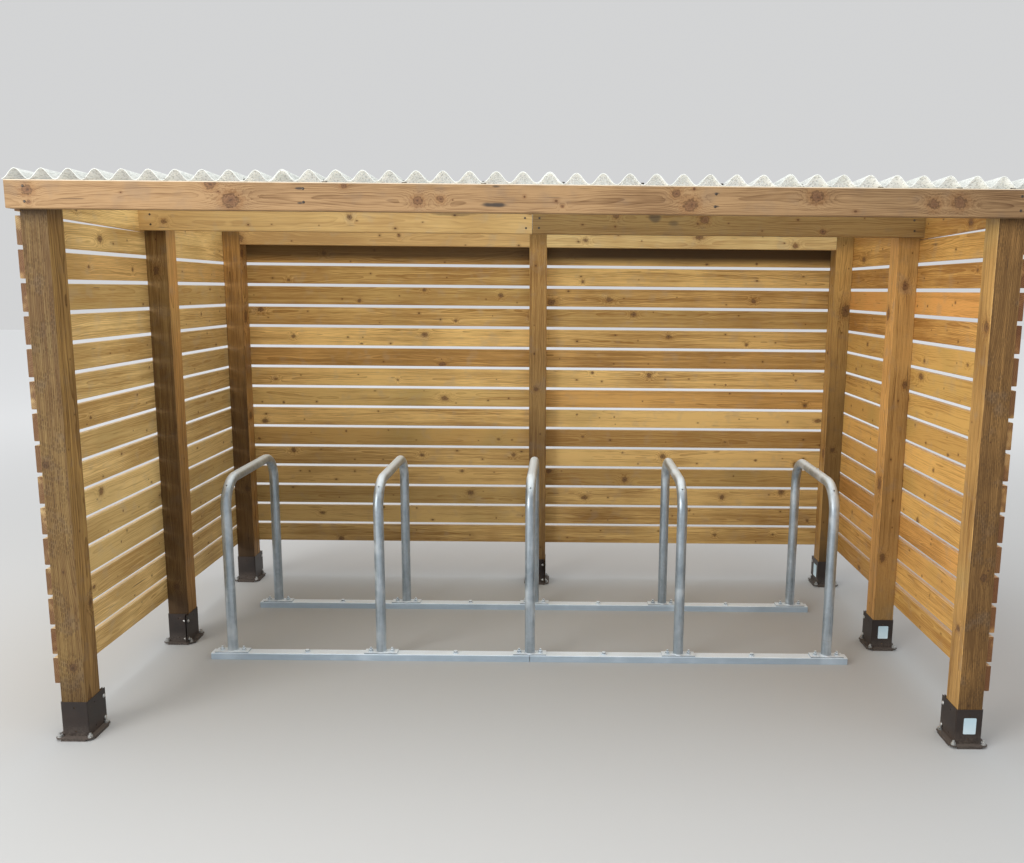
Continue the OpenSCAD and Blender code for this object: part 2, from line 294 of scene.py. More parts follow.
class Wood(Finish):
    """Wood finish. Its fields are worked out once, and each coat uses the ones it needs."""

    def __init__(self, name, tints, place, knots, ring_gap):
        super().__init__(name)
        self.tints = tints
        self.board = place(self)
        number, along, across, deep = self.board[:4]
        x, y, z = self.x, self.y, self.z
        self.lot = self.three_dice(number, 3.1, 1.7)
        drift = self.split(self.noise(
            self.vector(along * 0.8 + number * 5.3, number * 1.9, 0.0), 1.0, 0.5, output="Color"))
        self.wobble = self.noise(self.vector(along * 7.0 + number, across * 26.0, deep * 26.0), 1.0, 0.62)
        crumbs = self.noise(self.vector(x * 95.0, y * 95.0, z * 95.0 + number), 1.0, 0.65)
        self.wear = self.noise(self.vector(x * 11.0, y * 11.0, z * 11.0 + number), 2.0, 0.65)
        self.knot = self.nearest_knot(knots, ragged=(self.wobble - 0.5) * 0.9 + (crumbs - 0.5) * 1.5)
        self.pin = self.knot_distance(number + 17.0, PIN_STEP, knots.wide, PIN_SMALL, PIN_LARGE, knots.pins)
        # Growth rings round a wandering pith, pushed aside by the knots
        from_pith = across + (drift[0] - 0.5) * 0.20 + (self.lot[1] - 0.5) * 0.05
        below_pith = deep + (drift[1] - 0.5) * 0.05 + 0.022 + self.lot[2] * 0.03
        ring = (from_pith * from_pith + below_pith * below_pith).sqrt() / ring_gap
        swirl = (self.knot * self.knot * -0.16).exp()
        turn = (ring + self.wobble * 1.4 + swirl * 3.6).fract()
        self.late = (turn ** 2.4) * (1.0 - turn.ramp(0.94, 1.0))
        self.fibre = self.noise(self.vector(along * 12.0, across * 300.0 + number, deep * 300.0), 1.0, 0.65)
        self.streak = self.noise(
            self.vector(along * 1.5 + number * 3.0, across * 62.0 + swirl * 1.2, deep * 62.0), 3.0, 0.68)
        self.end = self.facing[self.board.axis].abs().ramp(0.6, 0.9)
        self.height = self.fibre * 0.8 + self.wobble * 0.3

    def knot_distance(self, number, step, wide, small, large, share):
        """Distance to the nearest knot in knot radii. A step without a knot is far from one."""
        start = self.board.along / step + number * 0.37
        slot = start.floor()
        dice = self.three_dice(slot, number, 2.3)
        oval = (dice[0] * 5.3 + dice[1] * 3.1).fract() * 0.8 + 0.75
        along = (start - slot - 0.22 - dice[0] * 0.56) * (step * 0.72) * oval
        aside = self.board.across - (dice[1] - 0.5) * wide
        radius = dice[2] ** 1.8 * (large - small) + small
        absent = self.dice(number, slot, 8.1) > share
        return (along * along + aside * aside).sqrt() / radius + absent * 40.0

    def nearest_knot(self, knots, ragged):
        near = self.knot_distance(
            self.board.number, knots.step, knots.wide, knots.small, knots.large, knots.share)
        for knot_x, knot_z, radius in knots.known:
            oval = ((self.x - knot_x) * 0.85) ** 2.0 + (self.z - knot_z) ** 2.0
            near = near.least(oval.sqrt() / radius)
        return near + ragged

    def grown_colour(self, ring_depth, grey):
        """Rings, fibres and the shade of each board, then patches worn grey."""
        light, dark, warm, green = self.tints
        number = self.board.number
        blotch_place = self.vector(self.x * 2.6 + number, self.y * 2.6, self.z * 2.6 + number * 0.7)
        blotch = self.split(self.noise(blotch_place, 1.0, 0.6, output="Color"))
        tone = (self.late * ring_depth + (self.streak - 0.5) * 2.0 + (self.fibre - 0.5) * 0.95
                + (blotch[0] - 0.5) * 1.1 + (self.lot[0] - 0.5) * 0.8 + 0.22)
        self.colour = self.mix(tone, light, dark)
        redder = self.lot[1].ramp(0.5, 1.0) * 0.75
        greener = self.lot[2].ramp(0.45, 1.0) * 0.55 + blotch[1].ramp(0.52, 0.72) * 0.35
        self.coat(redder, self.mix(tone, warm, dark))
        self.coat(greener, self.mix(tone, green, dark))
        between = [(a + b) / 2 for a, b in zip(light[:3], dark[:3])]
        worn = tuple(sum(between) / 3 * 0.48 + part * 0.38 for part in between) + (1.0,)
        self.coat(self.wear.ramp(0.52, 0.74) * grey, worn)

    def knot_coats(self):
        """A warm halo, a red brown heart with fine rings, a dark rim and a core. Pin knots are dots."""
        halo = 1.0 - self.knot.ramp(0.9, 2.7)
        heart = 1.0 - self.knot.ramp(0.72, 1.0)
        rim = 1.0 - (self.knot - 0.98).abs().ramp(0.04, 0.34)
        core = 1.0 - self.knot.ramp(0.05, 0.42)
        inner_rings = (self.knot * 11.0).sin() * 0.3 + self.streak
        self.coat(halo * 0.42, KNOT_HALO)
        self.coat(heart * 0.66, self.mix(inner_rings, KNOT_HEART, KNOT_HEART_PALE))
        self.coat(rim * 0.62 * (self.fibre + 0.35), KNOT_RIM)
        self.coat(core * 0.55, KNOT_CORE)
        dot = 1.0 - (self.pin + (self.wobble - 0.5) * 0.5).ramp(0.65, 1.25)
        self.coat(dot * 0.85, PIN_DARK)
        self.coat((1.0 - self.pin.ramp(1.0, 3.4)) * 0.30, PIN_HALO)

    def stain_coats(self, stains):
        """Dark scratches along the grain, and stains by place along, height, half sizes and strength."""
        number, along, across, deep = self.board[:4]
        scratch = self.noise(self.vector(along * 5.0 + number * 9.1, across * 95.0, deep * 95.0), 1.0, 0.5)
        self.coat(scratch.ramp(0.735, 0.80) * 0.6, SCRATCH)
        for stain_x, stain_z, half_long, half_high, strength in stains:
            far = ((along - stain_x) / half_long) ** 2.0 + ((self.z - stain_z) / half_high) ** 2.0
            self.coat((1.0 - (far + (self.wear - 0.5) * 2.2).ramp(0.1, 1.0)) * strength, STAIN)

    def end_coats(self):
        """End grain drinks more and looks darker, and faces that look up get a paler painted light from
        above.
        """
        self.coat(self.end * (self.late * 0.20 + 0.84 - self.wear.ramp(0.5, 0.7) * 0.4), END_GRAIN)
        painted_top_light = tuple(part * 0.55 + 0.30 for part in self.tints.light[:3]) + (1.0,)
        self.coat(self.facing[2].ramp(0.3, 0.8) * (self.wear * 0.5 + 0.25), painted_top_light)

    def saw_marks(self, share):
        """Short upright dashes in staggered columns. share says how strong they are over the surface."""
        run = self.board.across / 0.0080
        column = run.floor()
        lift = self.z / 0.021 + self.dice(column, self.board.number, 5.0) * 9.0
        cell = lift.floor()
        there = self.dice(column, cell, self.board.number) > 0.22
        dash = ((1.0 - (run - column - 0.5).abs().ramp(0.16, 0.36))
                * (1.0 - (lift - cell - 0.5).abs().ramp(0.22, 0.46)))
        cut = dash * there * self.wear.ramp(0.32, 0.60) * (1.0 - self.end)
        cut = cut * (self.facing[1].abs() * 0.85 + 0.15) * share
        self.coat(cut * 0.48, dimmed(self.tints.dark, 0.36))
        self.height = self.height - cut * 1.1


def timber(name, tints, place, knots, ring_gap=0.0062, ring_depth=0.62, grey=0.25,
           stains=(), sawn=None, painted_shade=None, painted_highlight_top=None):
    """Timber finish. sawn(f): where it is rough sawn. shade(f): painted shade. painted_highlight_top: top
    edge with a painted highlight.
    """
    f = Wood(name, tints, place, knots, ring_gap)
    f.grown_colour(ring_depth, grey)
    f.knot_coats()
    f.stain_coats(stains)
    f.end_coats()
    if sawn:
        f.saw_marks(sawn(f))
    # Painted shade, where less light falls
    if painted_shade:
        f.coat(painted_shade(f), dimmed(tints.dark, 0.16))
    # Painted highlight along the top edge, where light catches the arris
    if painted_highlight_top:
        f.coat(f.z.ramp(painted_highlight_top - 0.0040, painted_highlight_top - 0.0022) * 0.75, PAINTED_ARRIS_HIGHLIGHT)
    f.use("Specular IOR Level", 0.30)
    return f.finish(0.60 + (f.fibre - 0.5) * 0.30 + f.late * 0.12, f.height, 0.0012, 0.8)


# The numbers that the places below give to boards only pick each board's own grain, knots and shade

def slat_row(f):
    """Number of the slat's row and the height over the slat's middle."""
    row = ((f.z - SLAT_LOW + SLAT_GAP / 2) / SLAT_STEP).floor()
    return row, f.z - row * SLAT_STEP - (SLAT_LOW + SLAT_WIDE / 2)


def back_slat_place(f):
    row, across = slat_row(f)
    return Board(row + (f.x > 0.0) * 23.0 + 4.0, f.x, across, f.y - BACK_SLAT_MIDDLE, 0)


def side_slat_place(f):
    row, across = slat_row(f)
    return Board(row + (f.x > 0.0) * 41.0 + 60.0, f.y, across, f.x.abs() - SIDE_SLAT_MIDDLE, 1)


def post_place(f):
    """Posts have numbers by column and line, and each pair of faces has its own grain."""
    column = (f.x / COLUMN_STEP + 0.5).floor()
    line = ((f.y - MIDDLE_LINE) / LINE_STEP + 0.5).floor()
    from_x = f.x - column * COLUMN_STEP
    from_y = f.y - line * LINE_STEP - MIDDLE_LINE
    side = f.facing[0].abs().ramp(0.5, 0.51)
    across = from_x + (from_y - from_x) * side
    deep = from_y + (from_x - from_y) * side
    number = column * 3.0 + line + 20.0 + side * 31.0 + (f.facing[1] > 0.5) * 13.0
    return Board(number, f.z, across, deep, 2)


def through_beam(f):
    """Place through a beam's thickness, the same for every beam."""
    from_line = f.y - BETWEEN_BEAMS
    return from_line - (from_line / BEAM_THICK).floor() * BEAM_THICK - BEAM_HALF


def fascia_place(f):
    return Board(12.0, f.x, f.z - FASCIA_MIDDLE, through_beam(f), 0)


def beam_place(f):
    back = f.y > BETWEEN_BEAMS
    middle = back * (BACK_BEAM_MIDDLE - MID_BEAM_MIDDLE) + MID_BEAM_MIDDLE
    return Board((f.x > 0.0) * 5.0 + back * 2.0 + 30.0, f.x, f.z - middle, through_beam(f), 0)


def post_painted_shade(f):
    """Painted shade: darker downwards, left posts most, right inner faces least; painted shadow under beams,
    dark foot.
    """
    front = f.facing[1] < -0.5
    left = f.x < -1.0
    right = f.x > 1.0
    front_line = f.y < -0.5
    back_line = f.y > 0.5
    inner_right = right * (f.facing[0] < -0.5)
    low = 1.0 - f.z.ramp(0.9, 2.0)
    front_posts = 0.49 + left * front * 0.17 + right * low * 0.10
    middle_posts = 0.05 + low * 0.38 + left * (front * (0.43 - low * 0.14) + 0.07)
    back_posts = (low * 0.58 + left * 0.25 + right * 0.20) * (front * 0.55 + 0.45)
    painted_shade = front_line * front_posts + back_line * back_posts + (1.0 - front_line - back_line) * middle_posts
    painted_beams_shadow = f.z.ramp(1.99, 2.10) * 0.42
    foot = (1.0 - f.z.ramp(0.15, 0.34)) * 0.16
    return painted_shade * (1.0 - inner_right * 0.85) + painted_beams_shadow + foot


def back_wall_painted_shade(f):
    """Painted shade inside the back wall: painted shadow under the beam, dark lower left, less so lower down
    and right.
    """
    painted_beam_shadow = f.z.ramp(1.92, 1.99) * 0.86
    low_left = (1.0 - f.z.ramp(0.5, 1.4)) * (1.0 - f.x.ramp(-1.2, 0.8)) * 0.30
    low = (1.0 - f.z.ramp(0.4, 1.3)) * 0.20 + f.x.ramp(-0.4, 0.4) * 0.14
    inside = 1.0 - f.y.ramp(BACK_SLAT_INSIDE + 0.004, BACK_SLAT_INSIDE + 0.014)
    return (painted_beam_shadow + low_left + low) * inside


# Metal and plastic

CHALKY_ZINC = srgb(214, 220, 222)
GROUND_DIRT = srgb(112, 104, 94)


def galvanised_zinc():
    """Dull hot-dip galvanising: soft crystals, runs and a chalky bloom."""
    f = Finish("galvanised_zinc")
    cells = f.node("ShaderNodeTexVoronoi", {"feature": "F1"}, {"Vector": f.point, "Scale": 70.0}, "Color")
    crystal = f.split(cells)[0]
    broad = f.noise(f.point, 3.0, 0.6, 6.0)
    fine = f.noise(f.point, 2.0, 0.6, 210.0)
    # Runs go along the rails and down the hoops
    rail = f.z < rail_high.z + 0.0025
    run = f.noise(f.vector(f.x * (rail * -62.0 + 66.0), f.y * 66.0, f.z * (rail * 56.0 + 4.0)), 2.0, 0.6)
    tone = (crystal - 0.5) * 0.12 + (broad - 0.5) * 1.0 + (run - 0.5) * 0.9 + 0.5
    bloom = broad.ramp(0.54, 0.70)
    up = f.facing[2].ramp(0.35, 0.95)
    rail_side_painted_light = rail * (1.0 - up)
    f.colour = f.mix(tone, srgb(120, 133, 143), srgb(202, 213, 222))
    f.coat(bloom * 0.45, CHALKY_ZINC)
    # Painted highlight: faces that look up are painted near white and less metallic, as the sky shows in them
    f.coat(up * 0.92, srgb(238, 247, 255))
    # Dirt gathers at the ground, and a tide line runs round the right hoop's legs
    splash = (1.0 - f.z.ramp(0.0, 0.05)) * fine.ramp(0.45, 0.62)
    tide = (1.0 - ((f.z - 0.118).abs() + (fine - 0.5) * 0.002).ramp(0.0008, 0.0026)) * (f.x > 1.3)
    dirt = (splash + tide).clip()
    f.coat(dirt * 0.22, GROUND_DIRT)
    # Painted light: the rails' upright faces are a paler blue grey and less metallic, as lit by the sky
    f.coat(rail_side_painted_light * 0.66, srgb(178, 196, 212))
    f.use("Metallic", (0.80 - bloom * 0.26 - dirt * 0.4 - up * 0.66 - rail_side_painted_light * 0.25).clip())
    rough = (crystal - 0.5) * 0.05 + (fine - 0.5) * 0.06 + bloom * 0.10 + up * 0.06 + 0.40
    return f.finish(rough, run * 0.6, 0.0003, 0.2)


def brown_powder_coat():
    """Satin brown powder coating with dust, splashes near the ground and a few chips."""
    f = Finish("brown_powder_coat")
    broad = f.noise(f.point, 3.0, 0.6, 9.0)
    peel = f.noise(f.point, 2.0, 0.5, 520.0)
    grit = f.noise(f.point, 4.0, 0.7, 150.0)
    chip = f.noise(f.point, 3.0, 0.7, 60.0).ramp(0.71, 0.74)
    splash = (1.0 - f.z.ramp(0.004, 0.075)) * (grit.ramp(0.38, 0.66) * 0.75 + 0.18)
    dust = (splash + f.facing[2].ramp(0.5, 0.95) * 0.45).clip()
    f.colour = f.mix(broad.ramp(0.3, 0.7), srgb(31, 22, 18), srgb(44, 32, 25))
    f.coat(dust * 0.42, srgb(128, 116, 106))
    f.coat(chip * 0.6, srgb(120, 96, 78))
    rough = 0.40 + dust * 0.35 + chip * 0.2 + (broad - 0.5) * 0.2
    return f.finish(rough, peel * 0.35 + grit * 0.25 - chip * 0.8, 0.0004, 0.5)


ROOF_CLEAR = 0.62
ROOF_GLOW = 1.30
# How much of the glow is held back at the front edge. Deeper in it is whole, but weaker on the right
ROOF_HELD = 0.62


def milky_roof_sheet():
    """Milky corrugated sheet, flecked with grey. Rain leaves grime on top, most of it in the valleys.

    The glow on the underside and the cut edges stands for the daylight that comes through, and deeper in
    it lights the walls too. The sheet's shadow is plain, and the glow isn't sampled as a lamp.
    """
    f = Finish("milky_roof_sheet")
    fleck = f.noise(f.vector(f.x * 150.0, f.y * 45.0, f.z * 150.0), 2.0, 0.75).ramp(0.48, 0.66)
    streak = f.noise(f.vector(f.x * 55.0, f.y * 1.6, f.z * 20.0), 1.0, 0.6)
    valley = ((f.x - ROOF_LEFT) * (2 * math.pi / ROOF_PITCH)).cos() * 0.5 + 0.5
    weathered = f.y.ramp(ROOF_FRONT + 0.03, ROOF_FRONT + 0.25)
    top = f.facing[2] > 0.2
    cut_edge = f.facing[1].abs() > 0.7
    # Painted shade on the underside, towards the left end
    left_underside_shade = (1.0 - top) * (1.0 - cut_edge) * (1.0 - f.x.ramp(-1.8, -0.5))
    f.colour = f.mix(streak.ramp(0.35, 0.75), srgb(232, 235, 231), srgb(214, 218, 213))
    f.coat(fleck * 0.66, srgb(142, 144, 140))
    f.coat(top * (valley * 0.45 + weathered * 0.38 + 0.12), srgb(160, 162, 155))
    f.coat(left_underside_shade * 0.36, srgb(140, 134, 124))
    f.coat(cut_edge * 0.5, srgb(232, 232, 226))
    f.use("Alpha", ROOF_CLEAR)
    deep = f.y.ramp(ROOF_FRONT + 0.25, ROOF_FRONT + 0.60)
    held = ROOF_HELD - deep * (ROOF_HELD - f.x.ramp(-1.2, 1.2) * 0.35)
    f.use("Emission Color", f.mix(top.most(held), f.colour, BLACK))
    f.use("Emission Strength", ROOF_GLOW)
    f.material.use_transparent_shadow = False
    f.material.cycles.emission_sampling = "NONE"
    return f.finish(0.38 + fleck * 0.30 + (streak - 0.5) * 0.1, streak, 0.0004, 0.3)


def fixing_steel(name, pale, dull, grime, metal):
    """Plated fixing: scuffed, with grime in the scuffs."""
    f = Finish(name)
    scuff = f.noise(f.point, 3.0, 0.65, 420.0)
    patch = f.noise(f.point, 3.0, 0.6, 60.0)
    f.colour = f.mix(patch.ramp(0.35, 0.7), pale, dull)
    f.coat(scuff.ramp(0.6, 0.75) * grime, srgb(96, 88, 80))
    f.use("Metallic", metal)
    return f.finish(0.24 + scuff * 0.26, scuff, 0.0002, 0.4)


def blank_label():
    """Pale label, sun faded at one end."""
    f = Finish("blank_label")
    fade = f.noise(f.point, 3.0, 0.6, 40.0)
    f.colour = f.mix(f.z.ramp(0.045, 0.13) * 0.5 + fade * 0.4, srgb(206, 222, 228), srgb(168, 196, 208))
    return f.finish(0.42 + fade * 0.2, fade, 0.0003, 0.3)


# Finishes on the solids

SLAT_KNOTS = Knots(share=0.40, pins=0.4)
BEAM_KNOTS = Knots(share=0.7, pins=0.6, step=0.5, small=0.009, large=0.018)
POST_KNOTS = Knots(share=0.5, pins=0.35, step=0.62, wide=0.07, small=0.010, large=0.019)
FASCIA_KNOTS = Knots(share=0.0, pins=0.35, known=(
    (-1.768, 2.127, 0.014), (-1.766, 2.084, 0.006), (-1.115, 2.149, 0.013), (-1.045, 2.094, 0.021),
    (-0.640, 2.150, 0.007), (-0.377, 2.101, 0.013), (-0.295, 2.106, 0.009), (0.140, 2.085, 0.004),
    (0.547, 2.134, 0.011), (0.600, 2.093, 0.018), (1.049, 2.128, 0.016), (1.470, 2.104, 0.015),
    (1.560, 2.112, 0.019)))
FASCIA_STAINS = (
    (-0.095, 2.088, 0.060, 0.011, 0.9), (-0.095, 2.152, 0.022, 0.006, 0.7),
    (-0.797, 2.139, 0.018, 0.005, 0.8), (-0.797, 2.088, 0.013, 0.005, 0.8),
    (0.690, 2.136, 0.016, 0.005, 0.8), (0.690, 2.090, 0.014, 0.005, 0.8),
    (0.105, 2.115, 0.050, 0.003, 0.5))

post_timber = timber(
    "post_timber", wood_tints((235, 188, 112), (138, 99, 52), (218, 156, 87), (190, 162, 102)),
    post_place, POST_KNOTS, grey=0.35, sawn=lambda f: (f.y < -0.5) * 0.8 + 0.2, painted_shade=post_painted_shade)
# The fascia gets painted shade towards its right end and a painted highlight along its top edge
fascia_timber = timber(
    "fascia_timber", wood_tints((178, 142, 100), (110, 78, 48), (170, 124, 84), (152, 124, 88)),
    fascia_place, FASCIA_KNOTS, ring_gap=0.0040, ring_depth=0.58, stains=FASCIA_STAINS,
    painted_shade=lambda f: f.x.ramp(0.1, 1.9) * 0.20, painted_highlight_top=fascia_high.z)
beam_timber = timber(
    "beam_timber", wood_tints((228, 205, 147), (188, 149, 96), (232, 182, 118), (206, 168, 106)),
    beam_place, BEAM_KNOTS, stains=((-0.36, 2.135, 0.14, 0.012, 0.45),))
# Painted shade: the right middle beam is a darker copy of the beam timber
painted_shade_beam_timber = timber(
    "painted_shade_beam_timber", wood_tints((158, 128, 79), (120, 85, 45), (144, 100, 52), (129, 92, 48)),
    beam_place, BEAM_KNOTS, stains=((0.57, 2.13, 0.035, 0.03, 0.6), (0.66, 2.10, 0.03, 0.02, 0.5)))
# Painted shade on the left wall, lower down and towards the back
left_timber = timber(
    "left_slat_timber", wood_tints((255, 221, 152), (188, 149, 88), (232, 176, 104), (184, 156, 98)),
    side_slat_place, SLAT_KNOTS,
    painted_shade=lambda f: (1.0 - f.z.ramp(1.3, 1.9)) * (f.y.ramp(-0.3, 0.5) * 0.24 + 0.05))
# Painted shade on the right wall, towards the back
right_timber = timber(
    "right_slat_timber", wood_tints((236, 185, 106), (168, 118, 58), (232, 164, 90), (186, 154, 86)),
    side_slat_place, SLAT_KNOTS, painted_shade=lambda f: f.y.ramp(-0.3, 0.5) * 0.12)
back_timber = timber(
    "back_slat_timber", wood_tints((250, 208, 132), (166, 123, 65), (224, 168, 92), (182, 154, 92)),
    back_slat_place, Knots(share=0.5, pins=0.42), painted_shade=back_wall_painted_shade)
zinc_finish = galvanised_zinc()
coat_finish = brown_powder_coat()
sheet_finish = milky_roof_sheet()
bolt_finish = fixing_steel("plated_bolt", srgb(205, 206, 204), srgb(160, 160, 158), grime=0.35, metal=0.9)
nail_finish = fixing_steel("weathered_nail", srgb(78, 66, 55), srgb(52, 43, 36), grime=0.6, metal=0.2)
label_finish = blank_label()

# The longest start of a node's name that is listed gives its finish
FINISHES = {
    "post": post_timber, "shoe": coat_finish, "roof": sheet_finish, "rack": zinc_finish,
    "fascia_beam": fascia_timber, "mid_beam_left": beam_timber, "mid_beam_right": painted_shade_beam_timber,
    "back_beam": beam_timber, "back_slats": back_timber,
    "side_slats_left": left_timber, "top_board_left": left_timber,
    "side_slats_right": right_timber, "top_board_right": right_timber}
RUBBED_EDGE = 0.0012
RUBBED_FROM = math.radians(60)

for name, solid in node_of.items():
    start = max((key for key in FINISHES if name.startswith(key)), key=len)
    solid.data.materials.clear()
    solid.data.materials.append(FINISHES[start])
    for face in solid.data.polygons:
        face.material_index = 0
    if "slats" in name or "beam" in name or "board" in name:
        rub = solid.modifiers.new("rubbed_edge", "BEVEL")
        rub.width = RUBBED_EDGE
        rub.segments = 2
        rub.limit_method = "ANGLE"
        rub.angle_limit = RUBBED_FROM
        rub.harden_normals = False


# Modelling of fixings

UP = (0, 0, 1)
SMOOTH_BELOW = math.radians(35)
NUT_WASHER = 0.0022
STUD_SUNK = 0.001


def deselect_all():
    if bpy.context.object and bpy.context.object.mode != "OBJECT":
        bpy.ops.object.mode_set(mode="OBJECT")
    bpy.ops.object.select_all(action="DESELECT")


def pick_faces(piece, wanted):
    """Selects the faces that wanted() accepts and leaves the piece in edit mode."""
    bpy.ops.object.mode_set(mode="EDIT")
    bpy.ops.mesh.select_mode(type="FACE")
    bpy.ops.mesh.select_all(action="DESELECT")
    bpy.ops.object.mode_set(mode="OBJECT")
    for face in piece.data.polygons:
        face.select = wanted(face)
    bpy.ops.object.mode_set(mode="EDIT")


def disc_piece(name, sides, radius, height, chamfer, base=0.0):
    """An upright prism whose upper rim is chamfered, made from a cylinder."""
    deselect_all()
    drop = chamfer * 0.6
    bpy.ops.mesh.primitive_cylinder_add(
        vertices=sides, radius=radius, depth=height - drop, location=(0, 0, base + (height - drop) / 2))
    piece = bpy.context.object
    piece.name = name
    bpy.ops.object.transform_apply(location=True, rotation=True, scale=True)
    pick_faces(piece, lambda face: face.normal.z > 0.9)
    bpy.ops.mesh.inset(thickness=chamfer, depth=drop)
    bpy.ops.object.mode_set(mode="OBJECT")
    return piece


def joined(name, parts):
    """One piece from several."""
    deselect_all()
    for part in parts:
        part.select_set(True)
    bpy.context.view_layer.objects.active = parts[0]
    if len(parts) > 1:
        bpy.ops.object.join()
    piece = bpy.context.object
    piece.name = name
    piece.data.name = name
    return piece


def spread(master, name, places, finish):
    """Copies of a fixing at the given places as one piece, which rides on the shelter. The master goes."""
    copies = []
    for place in places:
        mesh = master.data.copy()
        mesh.transform(place)
        copy = bpy.data.objects.new(name, mesh)
        bpy.context.scene.collection.objects.link(copy)
        copies.append(copy)
    piece = joined(name, copies)
    piece.data.materials.clear()
    piece.data.materials.append(finish)
    for face in piece.data.polygons:
        face.material_index = 0
    bpy.ops.object.shade_smooth_by_angle(angle=SMOOTH_BELOW)
    bpy.data.objects.remove(master)
    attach(piece, "root")


def towards(direction, spot, turn=0.0):
    """Matrix that stands a +Z piece on a spot, pointing in a direction."""
    facing = Vector(direction).to_track_quat("Z", "Y").to_matrix().to_4x4()
    return Matrix.Translation(spot) @ facing @ Matrix.Rotation(turn, 4, "Z")


def turned(direction, x, y, z):
    """Matrix of a fixing that was tightened to any angle."""
    return towards(direction, Vector((x, y, z)), random.uniform(0, 1))


def hex_nut(name, across, height, stud, washer=None):
    """Nut on the end of its stud, with a washer under it where a washer radius is given."""
    parts = []
    base = 0.0
    if washer:
        parts.append(disc_piece("washer", 24, washer, NUT_WASHER, 0.0006))
        base = NUT_WASHER
    parts.append(disc_piece("nut", 6, across / math.sqrt(3), height, across * 0.07, base))
    parts.append(disc_piece("stud", 16, across * 0.29, stud, 0.0012, base + height - STUD_SUNK))
    return joined(name, parts)


def dome_head(name, radius, height, rings):
    """Low domed head, extruded up from a disc ring by ring."""
    deselect_all()
    bpy.ops.mesh.primitive_circle_add(vertices=20, radius=radius, fill_type="NGON")
    piece = bpy.context.object
    bpy.ops.object.mode_set(mode="EDIT")
    bpy.ops.mesh.select_all(action="SELECT")
    last = 1.0
    ring_angle = math.pi / 2 / (rings + 0.6)
    for k in range(1, rings + 1):
        rise = height * (math.sin(ring_angle * k) - math.sin(ring_angle * (k - 1)))
        bpy.ops.mesh.extrude_region_move(TRANSFORM_OT_translate={"value": (0, 0, rise)})
        now = math.cos(ring_angle * k)
        bpy.ops.transform.resize(value=(now / last, now / last, 1))
        last = now
    bpy.ops.mesh.select_all(action="SELECT")
    bpy.ops.mesh.normals_make_consistent(inside=False)
    bpy.ops.object.mode_set(mode="OBJECT")
    piece.name = name
    return piece


# Fixings of the post shoes

random.seed(7)
# The side of the split along x, and the way its flanges point along y
FLANGE_SIDE = {"front_left": (1, 1), "mid_left": (1, -1), "back_left": (1, 1), "back_centre": (1, -1),
               "back_right": (-1, 1), "mid_right": (-1, 1), "front_right": (-1, 1)}
ANCHOR_FROM_MIDDLE = 0.060
SHOE_WALL = 0.003
FLANGE = 0.026
FLANGE_GAP = 0.006
CLAMP_HEIGHTS = (0.0306, 0.125)
shoe_inside = POST / 2 + 0.0002
shoe_outside = shoe_inside + SHOE_WALL

anchor_places, head_places, nut_places = [], [], []
for place in POSTS:
    middle = post_centre[place]
    side_x, side_y = FLANGE_SIDE[place]
    for corner_x in (-ANCHOR_FROM_MIDDLE, ANCHOR_FROM_MIDDLE):
        for corner_y in (-ANCHOR_FROM_MIDDLE, ANCHOR_FROM_MIDDLE):
            anchor_places.append(turned(UP, middle.x + corner_x, middle.y + corner_y, PLATE_TOP))
    for height in CLAMP_HEIGHTS:
        bolt_y = middle.y + side_y * (shoe_outside + FLANGE / 2)
        head_x = middle.x + side_x * shoe_outside
        tail_x = middle.x + side_x * (shoe_inside - FLANGE_GAP - SHOE_WALL)
        head_places.append(turned((side_x, 0, 0), head_x, bolt_y, height))
        nut_places.append(turned((-side_x, 0, 0), tail_x, bolt_y, height))

anchor = hex_nut("anchor", across=0.017, height=0.008, stud=0.009, washer=0.0105)
spread(anchor, "shoe_anchors", anchor_places, bolt_finish)
clamp_head = joined("clamp_head", [
    disc_piece("collar", 20, 0.0085, 0.0016, 0.0004), dome_head("dome", 0.0078, 0.0062, 3)])
spread(clamp_head, "clamp_bolt_heads", head_places, bolt_finish)
clamp_nut = hex_nut("clamp_nut", across=0.013, height=0.0065, stud=0.0075)
spread(clamp_nut, "clamp_bolt_nuts", nut_places, bolt_finish)

# Fixings of the rack

rail_rows = ((rail_low.y + rail_high.y) / 2, (back_rail_low.y + back_rail_high.y) / 2)
hoop_x = []
for number in range(1, 6):
    low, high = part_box(f"rack_hoop_{number}")
    hoop_x.append((low.x + high.x) / 2)
HOOP_STEP = hoop_x[1] - hoop_x[0]
FOOT_PLATE = 0.006
FOOT_BOLT = 0.052
GROUND_WASHER = 0.0025

foot_places, ground_places = [], []
for row in rail_rows:
    for x in hoop_x:
        for side in (-FOOT_BOLT, FOOT_BOLT):
            foot_places.append(turned(UP, x + side, row, rail_high.z + FOOT_PLATE))
    for gap in range(4):
        ground_places.append(turned(UP, hoop_x[0] + HOOP_STEP * (gap + 0.5), row, rail_high.z))

foot_nut = hex_nut("foot_nut", across=0.018, height=0.009, stud=0.010, washer=0.013)
spread(foot_nut, "rack_foot_nuts", foot_places, zinc_finish)
ground_head = joined("ground_head", [
    disc_piece("washer", 24, 0.015, GROUND_WASHER, 0.0006),
    disc_piece("head", 6, 0.0105, 0.0085, 0.0012, GROUND_WASHER)])
spread(ground_head, "rack_ground_bolts", ground_places, zinc_finish)

# Roof screws in the valleys over each beam

